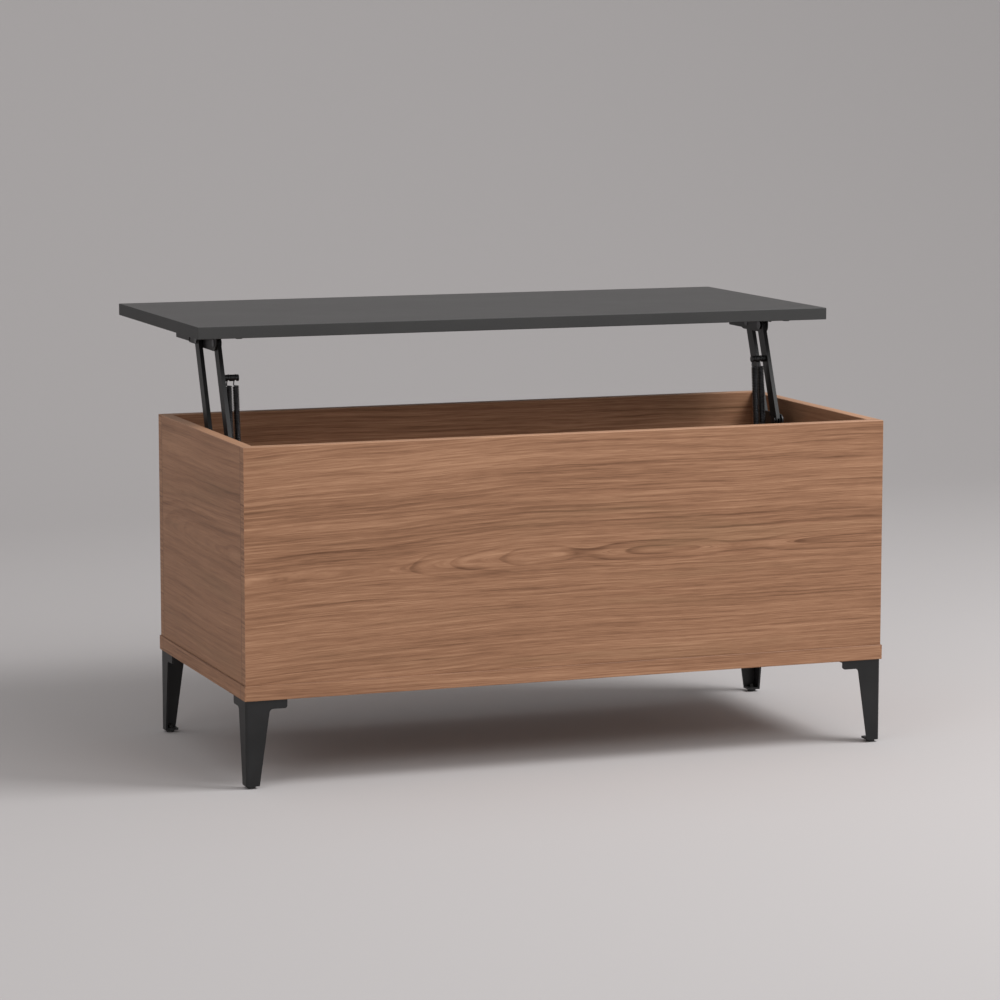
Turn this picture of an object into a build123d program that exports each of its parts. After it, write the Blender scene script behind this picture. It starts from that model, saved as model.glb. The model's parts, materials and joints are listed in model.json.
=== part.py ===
from build123d import *
import math
import os

# Lift top coffee table, millimetres. The origin is on the floor under the middle of the box.
# X runs along the width, -Y is the front, +Y is the back, +Z is up. The lid is modelled raised.

# Box
box_width = 1000.0
box_depth = 460.0
panel_height = 342.0
panel_thickness = 18.0
base_thickness = 22.0
base_overhang = 2.0
edge_chamfer = 0.6
dowel_radius = 4.0
dowel_face_depth = 12.0
dowel_end_depth = 26.0
dowels_per_corner = 3
dowel_margin = 45.0

# Legs and glides
leg_height = 124.0
leg_sheet = 3.0
leg_band_length = 62.0
leg_band_height = 13.0
leg_top_width = 36.0
leg_foot_width = 20.0
leg_bend_radius = 4.0
leg_band_end_round = 4.0
leg_root_fillet = 6.0
leg_plate_end = 22.0
leg_screw_inset = 13.0
glide_height = 4.0
glide_radius = 6.5
glide_inset = 10.0
glide_stem_radius = 3.0
glide_stem_length = 7.0

# Lid
lid_thickness = 18.0
lid_side_overhang = 5.0
lid_gap = 1.5
bumper_radius = 5.0
bumper_thickness = 1.2
bumper_inset = 60.0

# Lift arms and pivots
arm_length = 156.0
arm_spacing = 68.0
arm_width = 20.0
arm_depth = 6.0
arm_sheet = 1.5
open_angle = 68.0
front_pivot_y = 35.6
pivot_below_rim = 26.0
pivot_below_lid = 16.0
pin_radius = 4.0
pin_head_radius = 6.5
pin_head_thickness = 2.0
rivet_radius = 6.0
rivet_thickness = 0.8
washer_radius = 8.0
washer_thickness = 1.2

# Box brackets and lid brackets
bracket_inset = 32.4
bracket_sheet = 2.0
cheek_margin = 15.0
cheek_rise = 10.0
cheek_drop = 64.0
web_drop = 18.0
ear_length = 20.0
ear_screw_margin = 12.0
stop_radius = 3.0
stop_reach = 14.0
lid_plate_margin = 12.0
lid_rib_depth = 26.0
lid_rib_taper = 6.0
lid_rib_step = 4.0
lid_rib_gap = 2.0
lid_lip_depth = 12.0
lid_lip_reach = 120.0
lid_flange_width = 29.4
side_lip_depth = 15.0
side_lip_ahead = 32.0
side_lip_behind = 41.0
lid_screws_per_bracket = 4
lid_screw_margin = 15.0

# Springs and their posts
spring_post_reach = 101.0
spring_anchor_reach = 45.0
post_radius = 5.0
groove_radius = 3.5
groove_width = 3.4
post_shank_radius = 3.5
post_end_length = 4.5
spring_offset = 7.7
spring_spacing = 10.8
spring_outer_radius = 5.0
wire_radius = 0.9
spring_turns = 24
hook_reach = 12.0
hook_tip_angle = 135.0

# Screws
screw_radius = 2.0
screw_tip_length = 4.0
pan_head_radius = 4.0
pan_head_height = 2.4
flat_head_height = 2.2
recess_width = 1.0
recess_length = 4.4
recess_depth = 1.1
board_screw_length = 15.0
base_screw_grip = 30.0
base_screws_long = 5
base_screws_short = 2
base_screw_margin = 70.0

# Clearances
pivot_clearance = 0.05
free_pivot_clearance = 0.15
side_play = 0.1
stop_gap = 0.2
bore_clearance = 0.1
hook_clearance = 0.25

# Levels and places that follow from the sizes above
base_bottom = glide_height + leg_height
base_top = base_bottom + base_thickness
rim = base_top + panel_height
half_width = box_width / 2
half_depth = box_depth / 2
panel_face_x = half_width - panel_thickness
panel_face_y = half_depth - panel_thickness
base_pivot_z = rim - pivot_below_rim
closed_rise = pivot_below_rim - pivot_below_lid + lid_gap
closed_angle = 180.0 - math.degrees(math.asin(closed_rise / arm_length))
lift_travel = closed_angle - open_angle
open_y = arm_length * math.cos(math.radians(open_angle))
open_z = arm_length * math.sin(math.radians(open_angle))
lid_bottom = base_pivot_z + open_z + pivot_below_lid
lid_shift = open_y - arm_length * math.cos(math.radians(closed_angle))
plate_x = panel_face_x - bracket_inset
front_base = (front_pivot_y, base_pivot_z)
rear_base = (front_pivot_y + arm_spacing, base_pivot_z)
front_top = (front_base[0] + open_y, base_pivot_z + open_z)
rear_top = (rear_base[0] + open_y, base_pivot_z + open_z)
INWARD = -1.0
OUTWARD = 1.0
EAST = (1, 0, 0)
UP = (0, 0, 1)
nodes = {}


# Shape helpers

def block(x_range, y_range, z_range):
    """A box between a low and a high limit on each axis."""
    limits = (x_range, y_range, z_range)
    centre = [(low + high) / 2 for low, high in limits]
    size = [high - low for low, high in limits]
    return Pos(*centre) * Box(*size)


def rod(start, direction, radius, length):
    """A round bar from a point along a direction."""
    upright = Cylinder(radius, length, align=(Align.CENTER, Align.CENTER, Align.MIN))
    return Plane(origin=start, z_dir=direction) * upright


def rod_x(place, radius, x_from, x_to):
    """A round bar along X through a (y, z) place."""
    return rod((min(x_from, x_to), *place), EAST, radius, abs(x_to - x_from))


def sheet_yz(sketch, x_from, x_to):
    """A flat plate drawn in Y and Z, between two X planes."""
    low = min(x_from, x_to)
    return extrude(Plane.YZ.offset(low) * sketch, amount=abs(x_to - x_from))


def round_corner(sketch, point, radius):
    """The sketch with its corner nearest to a point rounded."""
    corner = min(sketch.vertices(), key=lambda v: (v.X - point[0]) ** 2 + (v.Y - point[1]) ** 2)
    return fillet(corner, radius)


def spread(low, high, count):
    """Evenly spaced places from low to high."""
    return [low + (high - low) * i / (count - 1) for i in range(count)]


def both_sides(solid):
    """A right-hand solid and its left-hand mirror image, by side."""
    return {"right": solid, "left": mirror(solid, about=Plane.YZ)}


def keep(name, *shapes):
    """Stores the solids of one node."""
    nodes[name] = [solid for shape in shapes for solid in shape.solids()]


# Screws and their bores

def cross_recess(level):
    """The cutter for a cross recess in a head whose outer face is at a level below the seat."""
    middle = level + recess_depth / 2
    slot = Box(recess_length, recess_width, recess_depth)
    return Pos(0, 0, middle) * (slot + Rot(0, 0, 90) * slot)


def shank(length):
    """A screw's shank with its pointed tip, from the seat upwards."""
    body_length = length - screw_tip_length
    body = rod((0, 0, 0), UP, screw_radius, body_length)
    tip = Cone(screw_radius, screw_radius / 4, screw_tip_length)
    return body + Pos(0, 0, body_length + screw_tip_length / 2) * tip


def pan_screw(seat, direction, length):
    """A pan head screw whose head sits on a seat and whose shank runs along a direction."""
    head = rod((0, 0, -pan_head_height), UP, pan_head_radius, pan_head_height)
    head = fillet(head.edges().sort_by(Axis.Z)[0], pan_head_height / 2)
    screw = head + shank(length) - cross_recess(-pan_head_height)
    return Plane(origin=seat, z_dir=direction) * screw


def flat_screw(seat, direction, length):
    """A countersunk screw whose head is flush with its seat."""
    head = Pos(0, 0, flat_head_height / 2) * Cone(pan_head_radius, screw_radius, flat_head_height)
    screw = head + shank(length) - cross_recess(0.0)
    return Plane(origin=seat, z_dir=direction) * screw


def bore(seat, direction, length):
    """The cutter for a screw's bore, from just below its seat to just past its tip."""
    start = Vector(seat) - Vector(direction) * bracket_sheet / 2
    return rod(start, direction, screw_radius + bore_clearance, length + bracket_sheet)


def countersink(seat, direction):
    """The cutter for a flat screw's head."""
    wide = pan_head_radius + bore_clearance
    cone = Cone(wide, screw_radius + bore_clearance, flat_head_height)
    return Plane(origin=seat, z_dir=direction) * (Pos(0, 0, flat_head_height / 2) * cone)


def cut(solid, cutters):
    """The solid with every cutter taken out."""
    for cutter in cutters:
        solid = solid - cutter
    return solid


# Box

def box_panels():
    """The front and back panels cover the ends of the side panels."""
    heights = (base_top, rim)
    front = block((-half_width, half_width), (-half_depth, -panel_face_y), heights)
    right = block((panel_face_x, half_width), (-panel_face_y, panel_face_y), heights)
    front = chamfer(front.edges().group_by(Axis.Z)[-1], edge_chamfer)
    right = chamfer(right.edges().group_by(Axis.Z)[-1].filter_by(Axis.Y), edge_chamfer)
    return front, mirror(front, about=Plane.XZ), mirror(right, about=Plane.YZ), right


def corner_dowels():
    """The dowels of the four corners, and their bores."""
    dowels = []
    bores = []
    length = dowel_face_depth + dowel_end_depth
    level_list = spread(base_top + dowel_margin, rim - dowel_margin, dowels_per_corner)
    for x_side in (-1, 1):
        for y_side in (-1, 1):
            x = x_side * (half_width - panel_thickness / 2)
            y = y_side * (panel_face_y + dowel_face_depth)
            for z in level_list:
                inward = (0, -y_side, 0)
                dowels.append(rod((x, y, z), inward, dowel_radius, length))
                bores.append(rod((x, y, z), inward, dowel_radius + bore_clearance, length + bore_clearance))
    return dowels, bores


def base_screw_places():
    """Where screws come up through the base board, along the middle of each panel's edge."""
    long_x = spread(-half_width + base_screw_margin, half_width - base_screw_margin, base_screws_long)
    short_y = spread(-half_depth + base_screw_margin, half_depth - base_screw_margin, base_screws_short)
    edge_x = half_width - panel_thickness / 2
    edge_y = half_depth - panel_thickness / 2
    places = [(x, side * edge_y) for side in (-1, 1) for x in long_x]
    return places + [(side * edge_x, y) for side in (-1, 1) for y in short_y]


# Legs, drawn with the outer corner at the origin and the wings along +X and +Y

def leg_wing():
    """One wing of a leg, drawn from the corner outwards, with Z as the sketch's second axis."""
    band_bottom = base_bottom - leg_band_height
    outline = Polygon(
        (0, glide_height),
        (leg_foot_width, glide_height),
        (leg_top_width, band_bottom),
        (leg_band_length, band_bottom),
        (leg_band_length, base_bottom),
        (0, base_bottom),
        align=None,
    )
    outline = round_corner(outline, (leg_top_width, band_bottom), leg_root_fillet)
    return round_corner(outline, (leg_band_length, band_bottom), leg_band_end_round)


def leg_screw_places():
    """Where screws go up through a leg's top plate, from its corner."""
    far = leg_band_length - leg_screw_inset
    return [(far, leg_screw_inset), (leg_screw_inset, far), (2 * leg_screw_inset, 2 * leg_screw_inset)]


def corner_leg():
    """A folded corner leg with its top plate and foot plate."""
    side_wing = sheet_yz(leg_wing(), 0, leg_sheet)
    front_wing = mirror(side_wing, about=Plane((0, 0, 0), x_dir=(1, 1, 0), z_dir=(1, -1, 0)))
    top = Polygon(
        (0, 0),
        (leg_band_length, 0),
        (leg_band_length, leg_plate_end),
        (leg_plate_end, leg_band_length),
        (0, leg_band_length),
        align=None,
    )
    top_plate = extrude(Pos(0, 0, base_bottom - leg_sheet) * top, amount=leg_sheet)
    foot_range = (0, leg_foot_width)
    foot_plate = block(foot_range, foot_range, (glide_height, glide_height + leg_sheet))
    leg = side_wing + front_wing + top_plate + foot_plate
    corner = leg.edges().filter_by(Axis.Z).sort_by_distance((0, 0, base_bottom / 2))[0]
    leg = fillet(corner, leg_bend_radius)
    plate_bottom = base_bottom - leg_sheet
    bores = [bore((x, y, plate_bottom), UP, board_screw_length) for x, y in leg_screw_places()]
    stem = rod((glide_inset, glide_inset, 0), UP, glide_stem_radius + bore_clearance, glide_stem_length * 2)
    return cut(leg, bores + [stem])


def leg_glide():
    """A round push-in glide."""
    foot = rod((glide_inset, glide_inset, 0), UP, glide_radius, glide_height)
    foot = chamfer(foot.edges().sort_by(Axis.Z)[0], glide_height / 5)
    return foot + rod((glide_inset, glide_inset, glide_height), UP, glide_stem_radius, glide_stem_length)


def at_corner(solid, x_side, y_side):
    """A corner piece moved to one corner of the box."""
    placed = Pos(-half_width, -half_depth, 0) * solid
    if x_side > 0:
        placed = mirror(placed, about=Plane.YZ)
    if y_side > 0:
        placed = mirror(placed, about=Plane.XZ)
    return placed


def corner_point(x, y, x_side, y_side):
    """A place measured from an outer corner, in the part's own frame."""
    return x_side * (half_width - x), y_side * (half_depth - y)


# Lift on the right-hand side. Across X its pieces stack up from the middle of the bracket sheets:
# half a sheet, a washer, an arm and a pin head on one side, a rivet on the other.
# Front arms lie inward of the sheets and rear arms outward, so that they pass each other.

sheet_half = bracket_sheet / 2
arm_near = sheet_half + washer_thickness
arm_far = arm_near + arm_depth


def across(side, distance):
    """The X plane at a distance from the bracket sheets' middle."""
    return plate_x + side * distance


def pivot_pin(place, side):
    """A headed pin through an arm and a sheet, riveted over behind the sheet."""
    head = rod_x(
        place,
        pin_head_radius,
        across(side, arm_far + side_play),
        across(side, arm_far + side_play + pin_head_thickness),
    )
    body = rod_x(place, pin_radius, across(side, arm_far + side_play), across(side, -sheet_half))
    rivet = rod_x(place, rivet_radius, across(side, -sheet_half), across(side, -sheet_half - rivet_thickness))
    return head + body + rivet


def pivot_washer(place, side):
    """A washer between a sheet and an arm."""
    faces = (across(side, sheet_half), across(side, arm_near - side_play))
    disc = rod_x(place, washer_radius, *faces)
    return disc - rod_x(place, pin_radius + bore_clearance, *faces)


def pin_bore(place, clearance):
    """The cutter for a pin's hole through everything at a pivot."""
    return rod_x(place, pin_radius + clearance, across(INWARD, arm_far * 2), across(OUTWARD, arm_far * 2))


def arm(base, side, top_clearance):
    """A channel arm with its web on the front edge and its two flanges rounded at the pivots."""
    half = arm_width / 2
    slot = Pos(arm_length / 2, 0) * SlotCenterToCenter(arm_length, arm_width)
    low = min(across(side, arm_near), across(side, arm_far))
    channel = sheet_yz(slot, low, low + arm_depth)
    inside_x = (low + arm_sheet, low + arm_depth - arm_sheet)
    hollow = block(inside_x, (-arm_width, arm_length + arm_width), (-arm_width, half - arm_sheet))
    low_end = block(inside_x, (-arm_width, 0), (-arm_width, arm_width))
    top_end = block(inside_x, (arm_length, arm_length + arm_width), (-arm_width, arm_width))
    channel = cut(channel, [hollow, low_end, top_end])
    channel = channel - pin_bore((0, 0), pivot_clearance) - pin_bore((arm_length, 0), top_clearance)
    return Pos(0, *base) * Rot(open_angle, 0, 0) * channel


def along_arm(base, reach, aside):
    """A (y, z) place on or beside a raised arm: reach from its base pivot, aside towards its back edge."""
    angle = math.radians(open_angle)
    y = base[0] + reach * math.cos(angle) + aside * math.sin(angle)
    z = base[1] + reach * math.sin(angle) - aside * math.cos(angle)
    return y, z


# The spring's lower post lies on the line that halves the arm's travel, so the spring is as long
# with the lid down as with it up, and longest half way.
anchor_direction = math.radians((open_angle + closed_angle) / 2 - 180)
anchor_place = (
    front_base[0] + spring_anchor_reach * math.cos(anchor_direction),
    front_base[1] + spring_anchor_reach * math.sin(anchor_direction),
)
post_place = along_arm(front_base, spring_post_reach, 0)
stop_place = along_arm(front_base, stop_reach, arm_width / 2 + stop_gap + stop_radius)
spring_planes = [across(INWARD, arm_far + spring_offset + i * spring_spacing) for i in range(2)]
post_end_x = spring_planes[-1] + INWARD * post_end_length


def grooved_post(place, seat_x):
    """A post from its seat to the free end, with a groove for each spring hook."""
    post = rod_x(place, post_radius, seat_x, post_end_x)
    for x in spring_planes:
        ring = rod_x(place, post_radius * 2, x - groove_width / 2, x + groove_width / 2)
        core = rod_x(place, groove_radius, x - groove_width / 2, x + groove_width / 2)
        post = post - (ring - core)
    return post


def spring_post():
    """The post on the front arm, with its shank through both flanges."""
    near_x = across(INWARD, arm_near)
    far_x = across(INWARD, arm_far)
    return grooved_post(post_place, far_x) + rod_x(post_place, post_shank_radius, near_x, far_x)


def spring_anchor():
    """The fixed post on the box bracket, riveted over behind the cheek."""
    seat_x = across(INWARD, sheet_half)
    back_x = across(OUTWARD, sheet_half)
    shank_rod = rod_x(anchor_place, post_shank_radius, seat_x, back_x)
    rivet = rod_x(anchor_place, rivet_radius, back_x, back_x + rivet_thickness)
    return grooved_post(anchor_place, seat_x) + shank_rod + rivet


def stop_pin():
    """The pin that the front arm leans on with the lid up."""
    seat_x = across(INWARD, sheet_half)
    back_x = across(OUTWARD, sheet_half)
    body = rod_x(stop_place, stop_radius, across(INWARD, arm_far), back_x)
    rivet = rod_x(stop_place, stop_radius + rivet_thickness, back_x, back_x + rivet_thickness)
    collar = rod_x(stop_place, stop_radius + stop_gap / 2, across(INWARD, arm_near), seat_x)
    return body + rivet + collar


# Box bracket, a hat section: a cheek for the pivots, two webs and two ears on the side panel

cheek_y = (front_base[0] - cheek_margin, rear_base[0] + cheek_margin)
cheek_z = (base_pivot_z - cheek_drop, base_pivot_z + cheek_rise)
ear_z = (cheek_z[0], base_pivot_z - web_drop)


def ear_screw_seats():
    """Where screws sit on the bracket's ears."""
    x = panel_face_x - bracket_sheet
    y_list = (cheek_y[0] - ear_length / 2, cheek_y[1] + ear_length / 2)
    z_list = (ear_z[0] + ear_screw_margin, ear_z[1] - ear_screw_margin)
    return [(x, y, z) for y in y_list for z in z_list]


def box_bracket():
    """The bracket on the side panel, with its pivot, post and screw holes."""
    outline = Polygon(
        (cheek_y[0], cheek_z[0]),
        (cheek_y[1], cheek_z[0]),
        (cheek_y[1], cheek_z[1]),
        (cheek_y[0], cheek_z[1]),
        align=None,
    )
    for y in cheek_y:
        outline = round_corner(outline, (y, cheek_z[1]), cheek_rise)
    bracket = sheet_yz(outline, plate_x - sheet_half, plate_x + sheet_half)
    web_x = (plate_x - sheet_half, panel_face_x)
    ear_x = (panel_face_x - bracket_sheet, panel_face_x)
    bracket += block(web_x, (cheek_y[0], cheek_y[0] + bracket_sheet), ear_z)
    bracket += block(web_x, (cheek_y[1] - bracket_sheet, cheek_y[1]), ear_z)
    bracket += block(ear_x, (cheek_y[0] - ear_length, cheek_y[0]), ear_z)
    bracket += block(ear_x, (cheek_y[1], cheek_y[1] + ear_length), ear_z)
    holes = [pin_bore(place, 0) for place in (front_base, rear_base)]
    through = (plate_x - bracket_sheet, plate_x + bracket_sheet)
    holes.append(rod_x(anchor_place, post_shank_radius, *through))
    holes.append(rod_x(stop_place, stop_radius, *through))
    holes += [bore(seat, EAST, board_screw_length) for seat in ear_screw_seats()]
    return cut(bracket, holes)


# Lid bracket: a plate for the pivots that narrows to a rib and a lip, a flange under the lid, and a side lip
# turned down from the flange's outer edge beside the rear pivot. With the lid down, the rib ends just ahead of
# the box bracket's cheek and the lip lies over it.

lid_plate_front = front_top[0] - lid_plate_margin
lid_rib_end = cheek_y[0] + lid_shift - lid_rib_gap
lid_lip_end = rear_top[0] + lid_lip_reach
flange_x = (plate_x - sheet_half, plate_x - sheet_half + lid_flange_width)
side_lip_x = (flange_x[1] - bracket_sheet, flange_x[1])
side_lip_y = (rear_top[0] - side_lip_ahead, rear_top[0] + side_lip_behind)


def lid_screw_seats():
    """Where screws sit under the lid bracket's flange."""
    x = (flange_x[0] + bracket_sheet + flange_x[1]) / 2
    low = lid_plate_front + lid_screw_margin
    high = lid_lip_end - lid_screw_margin
    return [(x, y, lid_bottom - bracket_sheet) for y in spread(low, high, lid_screws_per_bracket)]


def lid_bracket():
    """The bracket under the lid, with its pivot and screw holes."""
    plate_bottom = front_top[1] - lid_plate_margin
    plate_back = rear_top[0] + lid_plate_margin
    rib_bottom = lid_bottom - lid_rib_depth
    lip_bottom = lid_bottom - lid_lip_depth
    outline = Polygon(
        (lid_plate_front, lid_bottom),
        (lid_plate_front, plate_bottom),
        (plate_back, plate_bottom),
        (plate_back + lid_rib_taper, rib_bottom),
        (lid_rib_end - lid_rib_step, rib_bottom),
        (lid_rib_end, lip_bottom),
        (lid_lip_end, lip_bottom),
        (lid_lip_end, lid_bottom),
        align=None,
    )
    outline = round_corner(outline, (lid_plate_front, plate_bottom), lid_plate_margin)
    outline = round_corner(outline, (plate_back, plate_bottom), lid_plate_margin)
    outline = round_corner(outline, (lid_lip_end, lip_bottom), lid_lip_depth / 2)
    bracket = sheet_yz(outline, plate_x - sheet_half, plate_x + sheet_half)
    bracket += block(flange_x, (lid_plate_front, lid_lip_end), (lid_bottom - bracket_sheet, lid_bottom))
    bracket += block(side_lip_x, side_lip_y, (lid_bottom - side_lip_depth, lid_bottom))
    holes = [pin_bore(place, 0) for place in (front_top, rear_top)]
    holes += [bore(seat, UP, board_screw_length) for seat in lid_screw_seats()]
    return cut(bracket, holes)


# Springs, each one unbroken wire from hook tip to hook tip, drawn upright from its lower post

coil_radius = spring_outer_radius - wire_radius
hook_radius = groove_radius + hook_clearance + wire_radius
spring_span = math.dist(anchor_place, post_place)
coil_length = spring_span - 2 * hook_reach
coil_pitch = coil_length / spring_turns


def hook_stations(centre_z, turn_list):
    """Points and directions round a post, by the angle from the hook's far side."""
    stations = []
    for degrees in turn_list:
        angle = math.radians(degrees)
        point = Vector(0, hook_radius * math.sin(angle), centre_z - hook_radius * math.cos(angle))
        stations.append((point, Vector(0, math.cos(angle), math.sin(angle))))
    return stations


def coil_stations():
    """Points and directions every half turn of the coil."""
    stations = []
    for i in range(2 * spring_turns + 1):
        angle = math.pi / 2 + i * math.pi
        x = coil_radius * math.cos(angle)
        y = coil_radius * math.sin(angle)
        z = hook_reach + coil_pitch * i / 2
        rise = coil_pitch / (2 * math.pi)
        course = Vector(-y, x, rise)
        stations.append((Vector(x, y, z), course.normalized()))
    return stations


def spring_stations():
    """The whole wire: lower hook, coil, upper hook."""
    lower = hook_stations(0.0, (-hook_tip_angle, -hook_tip_angle / 2, 0, 90))
    upper = hook_stations(spring_span, (90, 180, 180 + hook_tip_angle / 2, 180 + hook_tip_angle))
    return lower + coil_stations() + upper


def biarc(start, end):
    """Two arcs that leave one station and arrive at the next, each along its direction."""
    (p, p_course), (q, q_course) = start, end
    chord = q - p
    courses = p_course + q_course
    spread_out = 2 * (1 - p_course.dot(q_course))
    along = chord.dot(courses)
    root = math.sqrt(along ** 2 + spread_out * chord.dot(chord))
    reach = (root - along) / spread_out
    middle = (p + q + (p_course - q_course) * reach) * 0.5
    middle_course = (q - q_course * reach - p - p_course * reach).normalized()
    first = Edge.make_tangent_arc(p, p_course, middle)
    second = Edge.make_tangent_arc(middle, middle_course, q)
    return [first, second]


def spring_wire():
    """The wire's centre line."""
    stations = spring_stations()
    edges = []
    for start, end in zip(stations, stations[1:]):
        edges += biarc(start, end)
    return Wire(edges)


def least_self_gap(line):
    """The least clear gap between stretches of wire that aren't neighbours along it."""
    count = spring_turns * 40
    step = line.length / count
    points = [line.position_at(i / count) for i in range(count + 1)]
    apart = int(coil_radius * 2 / step) + 1
    least = math.inf
    for i, point in enumerate(points):
        for other in points[i + apart:]:
            if abs(point.Z - other.Z) < least:
                least = min(least, (point - other).length)
    return least - 2 * wire_radius


def coil_spring(line):
    """The wire swept along its centre line."""
    section = Plane(line.position_at(0), z_dir=line.tangent_at(0)) * Circle(wire_radius)
    return sweep(section, path=line)


# Box nodes
front_panel, back_panel, left_panel, right_panel = box_panels()
dowels, dowel_bores = corner_dowels()
screw_places = base_screw_places()
base_screw_length = base_thickness + base_screw_grip
base_bores = [bore((x, y, base_bottom), UP, base_screw_length) for x, y in screw_places]
base_sinks = [countersink((x, y, base_bottom), UP) for x, y in screw_places]
corners = {
    "front_left": (-1, -1),
    "front_right": (1, -1),
    "back_left": (-1, 1),
    "back_right": (1, 1),
}
leg_seats = []
for x_side, y_side in corners.values():
    for x, y in leg_screw_places():
        leg_seats.append((*corner_point(x, y, x_side, y_side), base_bottom - leg_sheet))
leg_bores = [bore(seat, UP, board_screw_length) for seat in leg_seats]
ear_bores = both_sides(Compound([bore(seat, EAST, board_screw_length) for seat in ear_screw_seats()]))

base_board = block(
    (-half_width - base_overhang, half_width + base_overhang),
    (-half_depth - base_overhang, half_depth + base_overhang),
    (base_bottom, base_top),
)
base_board = chamfer(base_board.edges(), edge_chamfer)
keep("base_board", cut(base_board, base_bores + base_sinks + leg_bores))
keep("front_panel", cut(front_panel, dowel_bores + base_bores))
keep("back_panel", cut(back_panel, dowel_bores + base_bores))
keep("left_panel", cut(left_panel, dowel_bores + base_bores + ear_bores["left"].solids()))
keep("right_panel", cut(right_panel, dowel_bores + base_bores + ear_bores["right"].solids()))
keep("panel_dowels", *dowels)
keep("base_screws", *[flat_screw((x, y, base_bottom), UP, base_screw_length) for x, y in screw_places])

# Leg nodes
leg_shape = corner_leg()
glide_shape = leg_glide()
for corner_name, (x_side, y_side) in corners.items():
    keep(corner_name + "_leg", at_corner(leg_shape, x_side, y_side))
    keep(corner_name + "_glide", at_corner(glide_shape, x_side, y_side))
keep("leg_screws", *[pan_screw(seat, UP, board_screw_length) for seat in leg_seats])

# Lid nodes
lid_x = half_width + lid_side_overhang
lid_board = block(
    (-lid_x, lid_x),
    (lid_shift - half_depth, lid_shift + half_depth),
    (lid_bottom, lid_bottom + lid_thickness),
)
lid_board = chamfer(lid_board.edges(), edge_chamfer)
lid_bores = both_sides(Compound([bore(seat, UP, board_screw_length) for seat in lid_screw_seats()]))
keep("lid_board", cut(lid_board, lid_bores["left"].solids() + lid_bores["right"].solids()))
bumper_x = half_width - bumper_inset
bumper_y = half_depth - panel_thickness / 2
bumpers = []
for x in (-bumper_x, bumper_x):
    for y in (lid_shift - bumper_y, lid_shift + bumper_y):
        bumpers.append(rod((x, y, lid_bottom - bumper_thickness), UP, bumper_radius, bumper_thickness))
keep("lid_bumpers", *bumpers)

# Lift nodes, made on the right and mirrored to the left
# The left front arm carries the lid at its upper pivot. The other upper pivots have a freer fit.
wire_line = spring_wire()
spring_lean = math.degrees(math.atan2(post_place[1] - anchor_place[1], post_place[0] - anchor_place[0])) - 90
spring_shape = coil_spring(wire_line)
post_bore = rod_x(
    post_place,
    post_shank_radius + bore_clearance,
    across(INWARD, 0),
    across(INWARD, 2 * arm_far),
)
lift_pieces = {
    "box_bracket": [box_bracket()],
    "box_bracket_screws": [pan_screw(seat, EAST, board_screw_length) for seat in ear_screw_seats()],
    "box_pins": [pivot_pin(front_base, INWARD), pivot_pin(rear_base, OUTWARD)],
    "box_washers": [pivot_washer(front_base, INWARD), pivot_washer(rear_base, OUTWARD)],
    "stop_pin": [stop_pin()],
    "spring_anchor": [spring_anchor()],
    "rear_arm": [arm(rear_base, OUTWARD, free_pivot_clearance)],
    "spring_post": [spring_post()],
    "lid_bracket": [lid_bracket()],
    "lid_bracket_screws": [pan_screw(seat, UP, board_screw_length) for seat in lid_screw_seats()],
    "lid_pins": [pivot_pin(front_top, INWARD), pivot_pin(rear_top, OUTWARD)],
    "lid_washers": [pivot_washer(front_top, INWARD), pivot_washer(rear_top, OUTWARD)],
}
for spring_name, x in zip(("outer_spring", "inner_spring"), spring_planes):
    lift_pieces[spring_name] = [Pos(x, *anchor_place) * Rot(spring_lean, 0, 0) * spring_shape]
for piece_name, shapes in lift_pieces.items():
    mirrored = [both_sides(shape) for shape in shapes]
    for side in ("left", "right"):
        keep(side + "_" + piece_name, *[pair[side] for pair in mirrored])
for side, clearance in (("left", pivot_clearance), ("right", free_pivot_clearance)):
    front_arm = arm(front_base, INWARD, clearance) - post_bore
    keep(side + "_front_arm", both_sides(front_arm)[side])

# Files
os.makedirs("parts", exist_ok=True)
for node_name, solids in nodes.items():
    shape = solids[0] if len(solids) == 1 else Compound(solids)
    export_step(shape, os.path.join("parts", node_name + ".step"))

print("nodes", len(nodes))
print("lift travel, degrees", round(lift_travel, 4))
print("front pivot", front_base, "rear pivot", rear_base)
print("upper pivots", front_top, rear_top)
print("lid underside", round(lid_bottom, 3), "lid middle y", round(lid_shift, 3), "plate x", plate_x)
print("spring anchor", anchor_place, "post", post_place, "span", round(spring_span, 3))
print("spring lean", round(spring_lean, 3), "tightest bend", min(
    edge.radius for edge in wire_line.edges() if edge.geom_type == GeomType.CIRCLE))
print("spring least gap to itself", round(least_self_gap(wire_line), 3))
print("spring volume", round(spring_shape.volume, 2), "section times length",
      round(math.pi * wire_radius ** 2 * wire_line.length, 2))
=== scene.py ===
import bpy
import json
import math
from mathutils import Matrix, Vector


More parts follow.
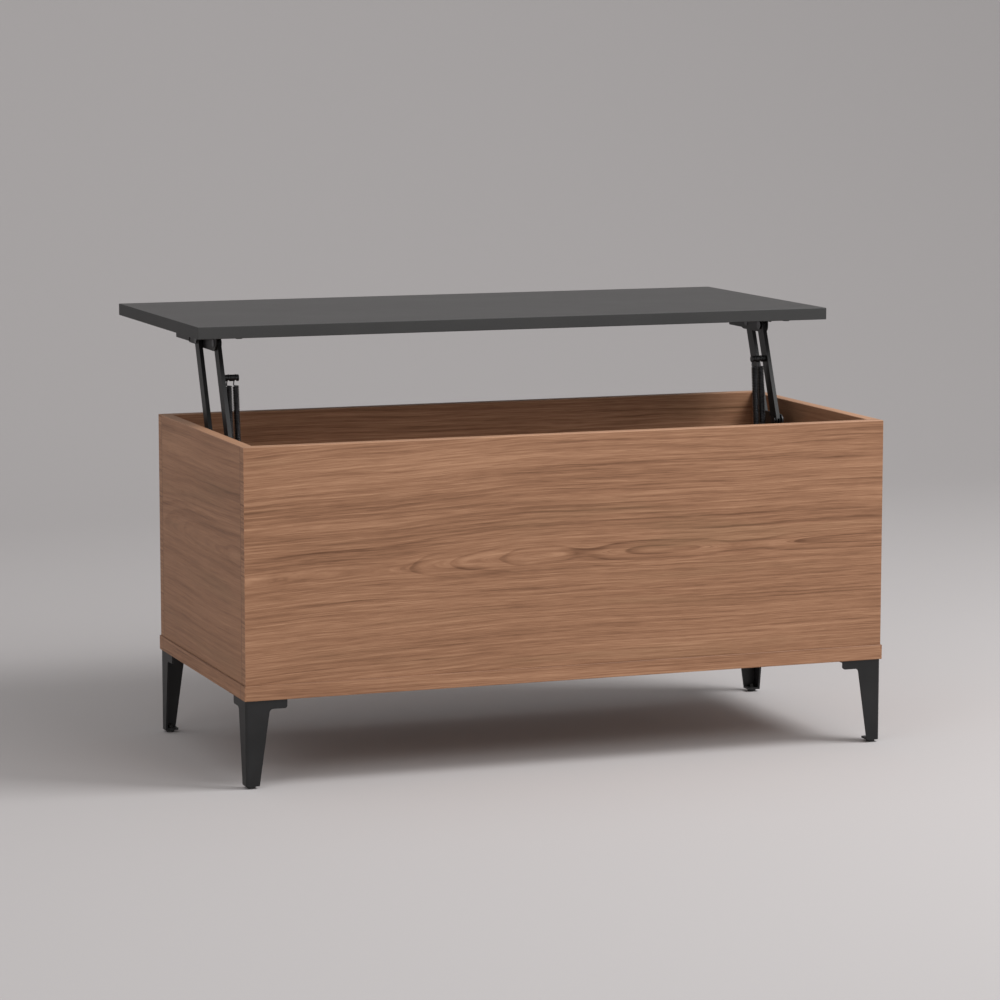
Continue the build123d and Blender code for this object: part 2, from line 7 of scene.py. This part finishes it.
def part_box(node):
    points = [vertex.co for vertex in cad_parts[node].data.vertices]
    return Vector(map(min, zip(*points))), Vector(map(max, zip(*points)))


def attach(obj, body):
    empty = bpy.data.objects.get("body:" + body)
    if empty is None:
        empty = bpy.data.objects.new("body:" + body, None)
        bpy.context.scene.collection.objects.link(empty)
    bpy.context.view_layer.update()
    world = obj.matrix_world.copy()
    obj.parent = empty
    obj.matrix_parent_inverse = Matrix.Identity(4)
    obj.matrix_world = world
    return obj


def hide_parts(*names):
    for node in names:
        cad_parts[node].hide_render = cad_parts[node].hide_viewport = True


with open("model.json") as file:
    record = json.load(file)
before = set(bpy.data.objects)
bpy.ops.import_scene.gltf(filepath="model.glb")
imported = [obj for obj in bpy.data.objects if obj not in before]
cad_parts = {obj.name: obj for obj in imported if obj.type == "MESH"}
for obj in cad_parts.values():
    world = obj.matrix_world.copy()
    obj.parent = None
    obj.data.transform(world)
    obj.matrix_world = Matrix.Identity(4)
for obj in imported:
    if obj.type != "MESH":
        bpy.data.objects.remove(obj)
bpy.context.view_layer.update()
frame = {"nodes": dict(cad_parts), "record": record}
nodes = frame["nodes"]

# Places read from the frame, in metres
panel_low, panel_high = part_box("front_panel")
side_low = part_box("left_panel")[0]
base_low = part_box("base_board")[0]
lid_low, lid_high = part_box("lid_board")
box_end_x = panel_high.x
rim_z = panel_high.z
base_top_z = panel_low.z
panel_middle_z = (rim_z + base_top_z) / 2
joint_y = abs(side_low.y)
lid_middle_y = (lid_low.y + lid_high.y) / 2
lid_half_depth = lid_high.y - lid_middle_y

# Camera, from the photograph's view of the box
camera_place = (-1.941, -5.179, 1.113)
camera_lens_mm = 132.26
sensor_mm = 36.0
camera_turn_deg = -20.26
camera_tilt_deg = 90.0 - 7.70
camera_reach = 100.0

# Stage and sky
floor_half_width = 9.0
floor_front_y = -9.0
wall_y = 5.5
wall_bend_radius = 3.0
wall_height = 7.0
wall_bend_steps = 24
floor_colour = (0.50, 0.480, 0.480)
sky_colour = (1.0, 0.99, 0.985)
sky_strength = 0.585

# Springs
spring_turns = 44
wire_radius = 0.0009
wire_sides = 10
coil_outer_radius = 0.005
hook_bend_radius = 0.00465
hook_reach = 0.012
hook_tip_deg = 135.0
hook_step_deg = 15.0
link_steps = 10
steps_per_turn = 24


class Finish:
    """A material and short calls for the nodes that the finishes share."""

    def __init__(self, name):
        self.material = bpy.data.materials.new(name)
        self.material.use_nodes = True
        self.tree = self.material.node_tree
        self.shader = self.tree.nodes["Principled BSDF"]

    def feed(self, socket, value):
        if isinstance(value, bpy.types.NodeSocket):
            self.tree.links.new(value, socket)
        else:
            socket.default_value = value

    def node(self, kind, settings=None, **sockets):
        made = self.tree.nodes.new(kind)
        for key, value in (settings or {}).items():
            setattr(made, key, value)
        for key, value in sockets.items():
            self.feed(made.inputs[key], value)
        return made

    def place(self):
        """The X, Y and Z of the point, in the part's own frame."""
        coordinate = self.node("ShaderNodeTexCoord").outputs["Object"]
        return self.node("ShaderNodeSeparateXYZ", Vector=coordinate).outputs

    def math(self, operation, *values):
        made = self.node("ShaderNodeMath", {"operation": operation})
        for socket, value in zip(made.inputs, values):
            self.feed(socket, value)
        return made.outputs[0]

    def add(self, a, b):
        return self.math("ADD", a, b)

    def times(self, a, b):
        return self.math("MULTIPLY", a, b)

    def minus(self, a, b):
        return self.math("SUBTRACT", a, b)

    def one_minus(self, value):
        return self.minus(1.0, value)

    def absolute(self, value):
        return self.math("ABSOLUTE", value)

    def hypotenuse(self, a, b):
        """The long side of a right-angled triangle with the sides a and b."""
        return self.math("SQRT", self.add(self.times(a, a), self.times(b, b)))

    def between(self, a, b, factor):
        """A number that goes from a to b as factor goes from 0 to 1."""
        return self.add(a, self.times(factor, self.minus(b, a)))

    def point(self, x, y, z):
        return self.node("ShaderNodeCombineXYZ", X=x, Y=y, Z=z).outputs[0]

    def stretch(self, axes, rates):
        """A point with each of its axes times a rate."""
        return self.point(*(self.times(axis, rate) for axis, rate in zip(axes, rates)))

    def noise(self, point, scale=1.0, detail=2.0, roughness=0.5):
        settings = {"Vector": point, "Scale": scale, "Detail": detail, "Roughness": roughness}
        return self.node("ShaderNodeTexNoise", None, **settings).outputs["Fac"]

    def swing(self, point, reach, **settings):
        """Noise about zero, times a reach."""
        return self.times(self.minus(self.noise(point, **settings), 0.5), 2.0 * reach)

    def step(self, value, low, high):
        """0 below low, 1 above high, smooth between."""
        made = self.node("ShaderNodeMapRange", {"interpolation_type": "SMOOTHSTEP"}, Value=value)
        made.inputs["From Min"].default_value = low
        made.inputs["From Max"].default_value = high
        return made.outputs["Result"]

    def ramp(self, value, stops):
        made = self.node("ShaderNodeValToRGB", None, Fac=value)
        band = made.color_ramp
        while len(band.elements) < len(stops):
            band.elements.new(1.0)
        for element, (position, colour) in zip(band.elements, stops):
            element.position = position
            element.color = (*colour, 1.0)
        return made.outputs["Color"]

    def curve(self, value, stops):
        """A number that follows value on a smooth curve through a few points."""
        low, high = stops[0][0], stops[-1][0]
        top = max(height for place, height in stops)
        share = self.math("DIVIDE", self.minus(value, low), high - low)
        made = self.node("ShaderNodeFloatCurve", None, Value=share)
        line = made.mapping.curves[0]
        while len(line.points) < len(stops):
            line.points.new(0.5, 0.5)
        for point, (place, height) in zip(line.points, stops):
            point.location = ((place - low) / (high - low), height / top)
        made.mapping.update()
        return self.times(made.outputs[0], top)

    def mottle(self, cloud, colour, darkest, lightest, low, high):
        """The colour, darker where cloud is at low and lighter where it is at high."""
        shades = [tuple(share * c for c in colour) for share in (darkest, lightest)]
        return self.ramp(cloud, ((low, shades[0]), (high, shades[1])))

    def mix(self, factor, a, b):
        """A colour that goes from a to b as factor goes from 0 to 1."""
        made = self.node("ShaderNodeMix", {"data_type": "RGBA"})
        # The node's sockets for colours come after those for numbers and vectors
        colour_a, colour_b, result = made.inputs[6], made.inputs[7], made.outputs[2]
        self.feed(made.inputs[0], factor)
        for socket, value in ((colour_a, a), (colour_b, b)):
            self.feed(socket, (*value, 1.0) if isinstance(value, tuple) else value)
        return result

    def bump(self, height, strength, distance):
        made = self.node("ShaderNodeBump", None, Height=height, Strength=strength, Distance=distance)
        self.feed(self.shader.inputs["Normal"], made.outputs["Normal"])

    def set(self, **sockets):
        for key, value in sockets.items():
            self.feed(self.shader.inputs[key.replace("_", " ")], value)


# Walnut's colours, and the tones at which they lie
walnut_dark = (0.150, 0.066, 0.032)
walnut_middle = (0.330, 0.165, 0.090)
walnut_light = (0.500, 0.275, 0.160)
walnut_olive = (0.265, 0.158, 0.082)
# The dark colour of the joint lines, also used for a painted contact shade over the base board
walnut_joint_and_shade = (0.060, 0.030, 0.018)
# A paler colour for a painted highlight along the rim's top edges
walnut_painted_highlight = (0.620, 0.370, 0.235)
walnut_tones = ((0.02, walnut_dark), (0.52, walnut_middle), (1.0, walnut_light))

# Walnut's rings: lengths in metres, and how many rings to the metre
end_face_margin = 0.0002
lean_end = 0.10
wander_reach = 0.008
depth_reach = 0.0025
sway_reach = 0.0045
ripple_reach = 0.0013
uneven_reach = 0.005
look_ahead = 0.02
rings_per_metre = 120.0

# Walnut's noise: changes per metre along the grain and across it, and a shift of the seed
wander_rate = 2.2
depth_rate = 9.0
depth_shift = 7.0
uneven_along, uneven_across = 0.8, 70.0
sway_layer = (2.4, 8.0, 3.0)
ripple_layer = (13.0, 45.0, 4.0)
strength_layer = (2.6, 45.0, 11.0)
broad_layer = (1.2, 24.0, 5.0)
band_layer = (2.6, 95.0, 6.0)
streak_layer = (4.5, 270.0, 9.0)
fine_layer = (19.0, 720.0, 13.0)
dull_layer = (2.5, 22.0, 17.0)
pore_layer = (26.0, 1500.0, 19.0)

# Where a smooth step starts and ends: lengths in metres, and plain numbers for noise and a ring's phase
flank_step = (-0.03, 0.03)
middle_step = (0.006, 0.026)
# The line over the base board: partly a joint, partly painted contact shade
deeper_step = (0.0, 0.0015)
seam_shade_step = (0.0005, 0.0016)
joint_step = (0.0003, 0.0014)
# Where the painted highlight along the rim's top edges starts and ends
rim_highlight_step = (rim_z - 0.0022, rim_z - 0.0004)
late_rise = (0.35, 0.88)
late_fall = (0.91, 1.0)
strength_step = (0.36, 0.72)
dull_step = (0.54, 0.74)
pore_step = (0.60, 0.70)

# How much each layer counts in the tone, and how far a colour covers what lies under it
tone_middle = 0.56
tone_reach = 0.5
broad_weight = 0.45
band_weight = 0.45
streak_weight = 1.0
fine_weight = 1.10
ring_weight = 0.24
arch_weight = 0.24
olive_cover = 0.24
pore_cover = 0.34
# The line over the base board, partly joint and partly painted contact shade, is stronger on the box's ends
seam_shade_cover_side = 0.18
seam_shade_cover_end = 0.40
joint_cover = 0.55
# How strongly the painted highlight along the rim covers the veneer
rim_highlight_cover = 0.30

# Other shares of the veneer, and its surface
flank_shift = 1.4
straight_share = 0.35
deeper_fade = 0.75
line_power = 5.0
veneer_roughness = 0.52
fine_roughness = 0.12
pore_roughness = 0.08
fine_height = 0.5
pore_depth = 0.6


def walnut_veneer(name, seed, middle_place, rings_at, lean=0.0, fine_lines=1.0, is_end=False):
    """Crown-cut walnut: growth rings cut into arches and eyes along a middle line, straight away from it,
    with streaks and pores that run straighter. The grain runs along X, and along Y on the box's ends,
    or everywhere on a panel that is an end. rings_at gives, along the grain, how deep the ring lies
    that the middle line cuts: the arches' tips point to where it is deeper."""
    f = Finish(name)
    x, y, z = f.place()
    if is_end:
        end = 1.0
        along, across = y, f.add(z, x)
    else:
        end = f.math("GREATER_THAN", f.absolute(x), box_end_x - end_face_margin)
        along = f.between(x, y, end)
        across = f.add(z, f.between(y, x, end))

    def spot(layer, place, side=0.0):
        """A point for a layer of noise, which is drawn out along the grain."""
        along_rate, across_rate, shift = layer
        return f.point(f.times(along, along_rate), f.times(place, across_rate), f.add(side, seed + shift))

    # Rings
    behind = f.math("MINIMUM", f.minus(along, lean_end), 0.0)
    slope = f.times(f.times(behind, behind), -lean)
    wander = f.swing(f.point(f.times(along, wander_rate), seed, 0.0), wander_reach, detail=1.0)
    from_middle = f.minus(f.minus(f.minus(across, middle_place), wander), slope)
    # The two sides of the middle line are no mirror images
    flank = f.times(f.step(from_middle, *flank_step), flank_shift)
    depth = f.curve(along, rings_at)
    rise_ahead = f.minus(f.curve(f.add(along, look_ahead), rings_at), depth)
    depth_spot = f.point(f.times(along, depth_rate), seed + depth_shift, 0.0)
    depth = f.add(depth, f.swing(depth_spot, depth_reach, detail=1.0))
    sway = f.swing(spot(sway_layer, across), sway_reach)
    ripple = f.swing(spot(ripple_layer, across), ripple_reach)
    waves = f.add(sway, ripple)
    ring = f.add(f.hypotenuse(from_middle, depth), waves)
    # Streaks and pores run straighter past the arches than the rings do
    grain = f.add(f.hypotenuse(from_middle, f.times(depth, straight_share)), waves)
    uneven_spot = f.point(f.times(ring, uneven_across), seed, f.times(along, uneven_along))
    uneven = f.add(ring, f.swing(uneven_spot, uneven_reach, detail=1.0))
    phase = f.math("FRACT", f.times(uneven, rings_per_metre))
    late = f.times(f.step(phase, *late_rise), f.one_minus(f.step(phase, *late_fall)))
    strength = f.noise(spot(strength_layer, ring, flank), detail=1.0)
    rings = f.times(late, f.step(strength, *strength_step))
    # Near the middle line the arches have thin lines, which fade where the depth grows along the grain
    near_middle = f.one_minus(f.step(f.absolute(from_middle), *middle_step))
    not_deeper = f.one_minus(f.times(f.step(rise_ahead, *deeper_step), deeper_fade))
    arch_line = f.times(f.times(near_middle, not_deeper), f.math("POWER", late, line_power))
    # Tone: broad bands, streaks and fine lines that break off along the grain
    broad = f.swing(spot(broad_layer, ring, flank), tone_reach)
    band = f.swing(spot(band_layer, grain, flank), tone_reach)
    streak = f.swing(spot(streak_layer, grain, flank), tone_reach, detail=3.0, roughness=0.6)
    fine = f.swing(spot(fine_layer, grain, flank), tone_reach, detail=3.0, roughness=0.65)
    tone = f.add(f.times(broad, broad_weight), f.times(band, band_weight))
    tone = f.add(tone, f.times(streak, streak_weight * fine_lines))
    tone = f.add(tone, f.times(fine, fine_weight * fine_lines))
    lines = f.add(f.times(rings, ring_weight * fine_lines), f.times(arch_line, arch_weight * fine_lines))
    tone = f.minus(f.add(tone, tone_middle), lines)
    colour = f.ramp(tone, walnut_tones)
    dull = f.step(f.noise(spot(dull_layer, ring, flank)), *dull_step)
    colour = f.mix(f.times(dull, olive_cover), colour, walnut_olive)
    pores = f.step(f.noise(spot(pore_layer, grain, flank)), *pore_step)
    colour = f.mix(f.times(pores, pore_cover * fine_lines), colour, walnut_dark)
    # Joints: a dark line over the base board, partly the joint and partly painted contact shade, and a dark
    # joint line where a panel's edge shows on the box's ends
    seam_and_shade = f.one_minus(f.step(f.absolute(f.minus(z, base_top_z)), *seam_shade_step))
    seam_and_shade = f.times(seam_and_shade, f.between(seam_shade_cover_side, seam_shade_cover_end, end))
    from_joint = f.absolute(f.minus(f.absolute(y), joint_y))
    joint = f.times(f.times(end, f.one_minus(f.step(from_joint, *joint_step))), joint_cover)
    colour = f.mix(f.math("MAXIMUM", seam_and_shade, joint), colour, walnut_joint_and_shade)
    # The rim's top edges are paler: a painted highlight, as if lit from above
    colour = f.mix(f.times(f.step(z, *rim_highlight_step), rim_highlight_cover), colour, walnut_painted_highlight)
    rough_pores = f.add(veneer_roughness, f.times(pores, pore_roughness))
    roughness = f.add(f.times(fine, fine_roughness), rough_pores)
    f.set(Base_Color=colour, Roughness=roughness, Specular_IOR_Level=0.30)
    height = f.minus(f.times(fine, fine_height), f.times(pores, pore_depth))
    f.bump(height, strength=0.22, distance=0.0002)
    return f.material


# The lid's laminate
charcoal_dark = (0.027, 0.0272, 0.0272)
charcoal_light = (0.041, 0.0408, 0.0402)
speck_weight = 0.30
cloud_weight = 0.70
lid_edge_step = (0.0003, 0.0010)
lid_edge_roughness = 0.62
lid_face_roughness = 0.36
cloud_roughness = 0.10


def charcoal_laminate(name):
    """Satin charcoal laminate with a faint mottle, a fine pressed texture and matt banding on the edges."""
    f = Finish(name)
    x, y, z = f.place()
    speck = f.noise(f.point(x, y, z), scale=900.0, detail=2.0)
    cloud = f.noise(f.point(x, y, z), scale=7.0, detail=4.0)
    tone = f.add(f.times(speck, speck_weight), f.times(cloud, cloud_weight))
    from_end = f.minus(lid_high.x, f.absolute(x))
    from_side = f.minus(lid_half_depth, f.absolute(f.minus(y, lid_middle_y)))
    face = f.step(f.math("MINIMUM", from_end, from_side), *lid_edge_step)
    colour = f.ramp(tone, ((0.25, charcoal_dark), (0.75, charcoal_light)))
    face_roughness = f.add(lid_face_roughness, f.times(cloud, cloud_roughness))
    roughness = f.between(lid_edge_roughness, face_roughness, face)
    f.set(Base_Color=colour, Roughness=roughness, Specular_IOR_Level=0.5)
    f.bump(speck, strength=0.10, distance=0.0002)
    return f.material


# Paint, plating, plastic and dowels: how far the grain roughens them, and its changes per metre
peel_roughness = 0.12
marks_roughness = 0.12
grain_roughness = 0.1
marks_rates = (300.0, 2600.0, 2600.0)
beech_rates = (500.0, 25.0, 500.0)
beech_dark = (0.42, 0.27, 0.15)
beech_light = (0.60, 0.42, 0.26)


def powder_coat(name, colour, roughness, grain_scale, specular=0.5):
    """Satin black paint with the slight orange peel of powder coat."""
    f = Finish(name)
    x, y, z = f.place()
    point = f.point(x, y, z)
    peel = f.noise(point, scale=grain_scale, detail=2.0)
    cloud = f.noise(point, scale=24.0, detail=3.0)
    f.set(
        Base_Color=f.mottle(cloud, colour, darkest=0.72, lightest=1.30, low=0.25, high=0.75),
        Roughness=f.add(roughness - peel_roughness / 2, f.times(peel, peel_roughness)),
        Specular_IOR_Level=specular,
    )
    f.bump(peel, strength=0.16, distance=0.0003)
    return f.material


def plated_steel(name, colour, roughness):
    """Plated or drawn steel with fine marks and a cloudy lustre."""
    f = Finish(name)
    x, y, z = f.place()
    point = f.point(x, y, z)
    cloud = f.noise(point, scale=180.0, detail=3.0)
    marks = f.noise(f.stretch((x, y, z), marks_rates), detail=2.0)
    f.set(
        Base_Color=f.mottle(cloud, colour, darkest=0.75, lightest=1.2, low=0.3, high=0.7),
        Metallic=1.0,
        Roughness=f.add(roughness, f.times(marks, marks_roughness)),
    )
    f.bump(marks, strength=0.10, distance=0.0001)
    return f.material


def moulded_plastic(name, colour, roughness):
    """Moulded plastic or rubber with a fine matte grain."""
    f = Finish(name)
    x, y, z = f.place()
    point = f.point(x, y, z)
    grain = f.noise(point, scale=1600.0, detail=2.0)
    cloud = f.noise(point, scale=60.0, detail=2.0)
    f.set(
        Base_Color=f.mottle(cloud, colour, darkest=0.8, lightest=1.25, low=0.3, high=0.7),
        Roughness=f.add(roughness, f.times(grain, grain_roughness)),
    )
    f.bump(grain, strength=0.12, distance=0.0002)
    return f.material


def bare_beech(name):
    """Pale dowel wood with fine lines."""
    f = Finish(name)
    line = f.noise(f.stretch(f.place(), beech_rates), detail=3.0)
    f.set(Base_Color=f.ramp(line, ((0.3, beech_dark), (0.7, beech_light))), Roughness=0.6)
    f.bump(line, strength=0.15, distance=0.0002)
    return f.material


# Each panel's own figure, so that no two repeat, in metres: how deep a ring the middle line cuts along the
# grain, and the middle line's place across it, which is its height plus the outer face's place
front_rings = (
    (-0.50, 0.037), (-0.30, 0.034), (-0.20, 0.026), (-0.11, 0.017), (-0.05, 0.010), (0.01, 0.015),
    (0.075, 0.010), (0.15, 0.005), (0.27, 0.014), (0.37, 0.006), (0.50, 0.004),
)
back_rings = ((-0.50, 0.012), (-0.34, 0.006), (-0.15, 0.022), (0.05, 0.007), (0.28, 0.030), (0.50, 0.034))
left_rings = ((-0.23, 0.038), (0.0, 0.044), (0.14, 0.054), (0.23, 0.060))
right_rings = ((-0.23, 0.050), (-0.08, 0.044), (0.08, 0.034), (0.23, 0.030))
base_rings = ((-0.50, 0.050), (0.0, 0.046), (0.50, 0.052))
front_middle = panel_middle_z - 0.005 + panel_low.y
back_middle = panel_middle_z + 0.03 - panel_low.y
left_middle = panel_middle_z + 0.01 + side_low.x
right_middle = panel_middle_z - 0.02 - side_low.x
base_middle = 0.35 + base_low.y
end_fine_lines = 0.60
veneers = {
    "front_panel": walnut_veneer("walnut_front", 2.0, front_middle, front_rings, lean=0.05),
    "back_panel": walnut_veneer("walnut_back", 31.0, back_middle, back_rings),
    "left_panel": walnut_veneer(
        "walnut_left", 47.0, left_middle, left_rings, fine_lines=end_fine_lines, is_end=True
    ),
    "right_panel": walnut_veneer(
        "walnut_right", 63.0, right_middle, right_rings, fine_lines=end_fine_lines, is_end=True
    ),
    "base_board": walnut_veneer("walnut_base", 85.0, base_middle, base_rings),
}
finishes = {
    "dowel_wood": bare_beech("beech_dowel"),
    "charcoal_laminate": charcoal_laminate("charcoal_laminate"),
    "black_steel": powder_coat(
        "black_powder_coat", (0.011, 0.011, 0.0115), roughness=0.46, grain_scale=1400.0, specular=0.40
    ),
    "black_screws": powder_coat(
        "black_screw_coat", (0.016, 0.016, 0.017), roughness=0.38, grain_scale=2600.0
    ),
    "zinc_steel": plated_steel("zinc_plate", (0.55, 0.55, 0.53), roughness=0.28),
    "pin_steel": plated_steel("dark_pin_plate", (0.10, 0.10, 0.105), roughness=0.32),
    "spring_steel": plated_steel("dark_spring_wire", (0.085, 0.085, 0.09), roughness=0.30),
    "nylon": moulded_plastic("black_nylon", (0.030, 0.030, 0.030), roughness=0.45),
    "glide_plastic": moulded_plastic("black_glide_plastic", (0.022, 0.022, 0.022), roughness=0.50),
    "rubber": moulded_plastic("bumper_rubber", (0.035, 0.035, 0.035), roughness=0.70),
}


def dress_cad_nodes():
    """Every CAD node gets the finish of its slot, and every wooden panel its own veneer."""
    for row in frame["record"]["subparts"]:
        name = row["node"]
        finish = veneers.get(name) or finishes[row["material_slot"]]
        mesh = nodes[name].data
        mesh.materials.clear()
        mesh.materials.append(finish)


# Springs

def hook_points(centre_z, start_deg, end_deg):
    """Points of a hook round a post, by the angle from the hook's far side."""
    count = max(2, round(abs(end_deg - start_deg) / hook_step_deg))
    points = []
    for i in range(count + 1):
        angle = math.radians(start_deg + (end_deg - start_deg) * i / count)
        y = hook_bend_radius * math.sin(angle)
        points.append(Vector((0.0, y, centre_z - hook_bend_radius * math.cos(angle))))
    return points


def coil_points(span):
    """Points of the coil, from just above the lower hook to just below the upper one."""
    radius = coil_outer_radius - wire_radius
    count = spring_turns * steps_per_turn
    points = []
    for i in range(count + 1):
        angle = math.pi / 2 + 2 * math.pi * i / steps_per_turn
        z = hook_reach + (span - 2 * hook_reach) * i / count
        points.append(Vector((radius * math.cos(angle), radius * math.sin(angle), z)))
    return points


def link_points(before, after):
    """Points of a smooth bend from the end of one run to the start of the next."""
    start, end = before[-1], after[0]
    reach = (end - start).length
    leave = (before[-1] - before[-2]).normalized() * reach
    arrive = (after[1] - after[0]).normalized() * reach
    points = []
    for i in range(1, link_steps):
        t = i / link_steps
        a = 2 * t ** 3 - 3 * t ** 2 + 1
        b = t ** 3 - 2 * t ** 2 + t
        c = -2 * t ** 3 + 3 * t ** 2
        d = t ** 3 - t ** 2
        points.append(start * a + leave * b + end * c + arrive * d)
    return points


def spring_line(span):
    """The centre line of one spring, upright, from its lower hook's tip to its upper hook's tip."""
    lower = hook_points(0.0, -hook_tip_deg, 90.0)
    coil = coil_points(span)
    upper = hook_points(span, 90.0, 180.0 + hook_tip_deg)
    return lower + link_points(lower, coil) + coil + link_points(coil, upper) + upper


def wound_wire_tree():
    """Geometry nodes that give a wire's centre lines their round section."""
    tree = bpy.data.node_groups.new("wound_wire", "GeometryNodeTree")
    face = tree.interface
    face.new_socket("Geometry", in_out="INPUT", socket_type="NodeSocketGeometry")
    face.new_socket("Wire radius", in_out="INPUT", socket_type="NodeSocketFloat")
    face.new_socket("Wire sides", in_out="INPUT", socket_type="NodeSocketInt")
    face.new_socket("Finish", in_out="INPUT", socket_type="NodeSocketMaterial")
    face.new_socket("Geometry", in_out="OUTPUT", socket_type="NodeSocketGeometry")
    given = tree.nodes.new("NodeGroupInput")
    section = tree.nodes.new("GeometryNodeCurvePrimitiveCircle")
    tube = tree.nodes.new("GeometryNodeCurveToMesh")
    smooth = tree.nodes.new("GeometryNodeSetShadeSmooth")
    whole = tree.nodes.new("GeometryNodeRealizeInstances")
    paint = tree.nodes.new("GeometryNodeSetMaterial")
    result = tree.nodes.new("NodeGroupOutput")
    tube.inputs["Fill Caps"].default_value = True
    link = tree.links.new
    link(given.outputs["Wire radius"], section.inputs["Radius"])
    link(given.outputs["Wire sides"], section.inputs["Resolution"])
    link(given.outputs["Geometry"], tube.inputs["Curve"])
    link(section.outputs["Curve"], tube.inputs["Profile Curve"])
    link(tube.outputs["Mesh"], smooth.inputs["Geometry"])
    link(smooth.outputs["Geometry"], whole.inputs["Geometry"])
    link(whole.outputs["Geometry"], paint.inputs["Geometry"])
    link(given.outputs["Finish"], paint.inputs["Material"])
    link(paint.outputs["Geometry"], result.inputs["Geometry"])
    return tree


def set_input(modifier, name, value):
    """Sets a geometry nodes input by its socket's identifier."""
    for item in modifier.node_group.interface.items_tree:
        if item.in_out == "INPUT" and item.name == name:
            modifier[item.identifier] = value


def springs(side, tree):
    """Both springs of one lift, as one piece that swings with them."""
    anchor_low, anchor_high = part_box(side + "_spring_anchor")
    post_low, post_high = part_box(side + "_spring_post")
    anchor = (anchor_low + anchor_high) / 2
    post = (post_low + post_high) / 2
    rise = Vector((0.0, post.y - anchor.y, post.z - anchor.z))
    lean = math.atan2(rise.z, rise.y) - math.pi / 2
    line = spring_line(rise.length)
    curve = bpy.data.curves.new(side + "_spring_lines", "CURVE")
    curve.dimensions = "3D"
    for node_name in (side + "_outer_spring", side + "_inner_spring"):
        low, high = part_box(node_name)
        foot = Matrix.Translation(((low.x + high.x) / 2, anchor.y, anchor.z))
        place = foot @ Matrix.Rotation(lean, 4, "X")
        spline = curve.splines.new("POLY")
        spline.points.add(len(line) - 1)
        for target, point in zip(spline.points, line):
            target.co = (*(place @ point), 1.0)
    guide = bpy.data.objects.new(side + "_spring_guide", curve)
    bpy.context.scene.collection.objects.link(guide)
    modifier = guide.modifiers.new("wound_wire", "NODES")
    modifier.node_group = tree
    set_input(modifier, "Wire radius", wire_radius)
    set_input(modifier, "Wire sides", wire_sides)
    set_input(modifier, "Finish", finishes["spring_steel"])
    bpy.context.view_layer.update()
    evaluated = guide.evaluated_get(bpy.context.evaluated_depsgraph_get())
    mesh = bpy.data.meshes.new_from_object(evaluated)
    bpy.data.objects.remove(guide)
    piece = bpy.data.objects.new(side + "_springs", mesh)
    bpy.context.scene.collection.objects.link(piece)
    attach(piece, side + "_springs")
    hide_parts(side + "_outer_spring", side + "_inner_spring")


# Stage, light and camera

def stage():
    """A pale floor that bends up into a wall behind the table."""
    profile = [(floor_front_y, 0.0), (wall_y - wall_bend_radius, 0.0)]
    for i in range(1, wall_bend_steps + 1):
        angle = math.pi / 2 * i / wall_bend_steps
        y = wall_y - wall_bend_radius + wall_bend_radius * math.sin(angle)
        profile.append((y, wall_bend_radius * (1 - math.cos(angle))))
    profile.append((wall_y, wall_height))
    points = [(x, y, z) for y, z in profile for x in (-floor_half_width, floor_half_width)]
    faces = [(2 * i, 2 * i + 1, 2 * i + 3, 2 * i + 2) for i in range(len(profile) - 1)]
    mesh = bpy.data.meshes.new("stage")
    mesh.from_pydata(points, [], faces)
    mesh.shade_smooth()
    f = Finish("stage_paper")
    f.set(Base_Color=(*floor_colour, 1.0), Roughness=0.9, Specular_IOR_Level=0.1)
    mesh.materials.append(f.material)
    piece = bpy.data.objects.new("stage", mesh)
    bpy.context.scene.collection.objects.link(piece)


def area_light(name, place, target, size, watts):
    """A soft white lamp that faces a target."""
    lamp = bpy.data.lights.new(name, "AREA")
    lamp.shape = "RECTANGLE"
    lamp.size, lamp.size_y = size
    lamp.energy = watts
    piece = bpy.data.objects.new(name, lamp)
    piece.location = place
    piece.rotation_euler = (Vector(target) - Vector(place)).to_track_quat("-Z", "Y").to_euler()
    bpy.context.scene.collection.objects.link(piece)


def light():
    """A high soft box on the right, weak fills from the front and the left, and even sky."""
    area_light("key_box", place=(2.2, -1.2, 3.2), target=(0.0, 0.0, 0.25), size=(1.6, 1.6), watts=103.0)
    area_light("front_fill", place=(1.5, -4.0, 3.6), target=(0.0, 0.0, 0.3), size=(2.4, 1.6), watts=40.0)
    area_light("left_fill", place=(-3.0, -2.6, 2.6), target=(0.0, 0.0, 0.3), size=(2.0, 1.6), watts=15.0)
    world = bpy.data.worlds.new("studio")
    world.use_nodes = True
    sky = world.node_tree.nodes["Background"]
    sky.inputs["Color"].default_value = (*sky_colour, 1.0)
    sky.inputs["Strength"].default_value = sky_strength
    bpy.context.scene.world = world


def camera():
    """The photograph's view."""
    lens = bpy.data.cameras.new("photo_view")
    lens.lens = camera_lens_mm
    lens.sensor_width = sensor_mm
    lens.sensor_fit = "HORIZONTAL"
    lens.clip_end = camera_reach
    piece = bpy.data.objects.new("photo_view", lens)
    piece.location = camera_place
    piece.rotation_euler = (math.radians(camera_tilt_deg), 0.0, math.radians(camera_turn_deg))
    bpy.context.scene.collection.objects.link(piece)
    bpy.context.scene.camera = piece


dress_cad_nodes()
wire_tree = wound_wire_tree()
for side in ("left", "right"):
    springs(side, wire_tree)
stage()
light()
camera()
bpy.context.scene.view_settings.view_transform = "Standard"
